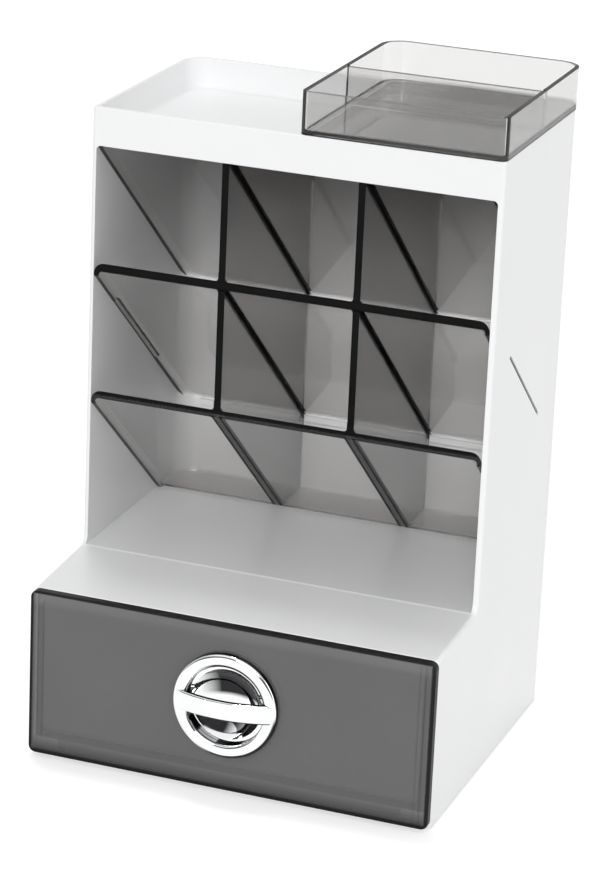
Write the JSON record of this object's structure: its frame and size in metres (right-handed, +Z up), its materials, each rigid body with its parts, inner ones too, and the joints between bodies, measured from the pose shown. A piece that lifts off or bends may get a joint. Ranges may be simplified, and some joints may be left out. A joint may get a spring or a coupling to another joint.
{
  "type": "brush holder with drawer",
  "caption": "Tabletop brush and make-up holder: white housing with slanted smoke pockets, an open shelf, a smoke drawer with a round chrome pull, and a smoke tray sliding on its top.",
  "frame": {"origin": "on the table, under the middle of the whole object's width and depth", "axes": "+Z up, -Y towards the drawer and the user, +X to the user's right, where the top tray is stored"},
  "size_m": [0.14, 0.131, 0.2262],
  "materials": {
    "white_plastic": "glossy moulded white",
    "base_plastic": "satin moulded white",
    "smoke_plastic": "clear smoke grey, polished",
    "drawer_plastic": "clear smoke grey, polished",
    "tray_plastic": "clear smoke grey, polished",
    "chrome_plate": "bright plated plastic",
    "clamp_plastic": "moulded black",
    "foot_rubber": "soft grey",
    "screw_steel": "zinc plated"
  },
  "bodies": {
    "housing": {"main_shell": "white_plastic", "base_plate": "base_plastic", "top_tier": "smoke_plastic", "middle_tier": "smoke_plastic", "lower_tier": "smoke_plastic", "foot_front_left": "foot_rubber", "foot_front_right": "foot_rubber", "foot_back_left": "foot_rubber", "foot_back_right": "foot_rubber", "base_screw_front_left": "screw_steel", "base_screw_front_right": "screw_steel", "base_screw_back_left": "screw_steel", "base_screw_back_right": "screw_steel"},
    "drawer": {"drawer_box": "drawer_plastic", "knob_ring": "chrome_plate", "knob_bowl": "chrome_plate", "knob_clamp_ring": "clamp_plastic"},
    "tray": {"top_tray": "tray_plastic", "top_tray_divider": "tray_plastic"}
  },
  "joints": [
    {"name": "drawer_slide", "type": "slide", "parent": "housing", "child": "drawer", "axis": [0, -1, 0], "range_m": [0, 0.085]},
    {"name": "tray_slide", "type": "slide", "parent": "housing", "child": "tray", "axis": [-1, 0, 0], "range_m": [0, 0.071]}
  ]
}
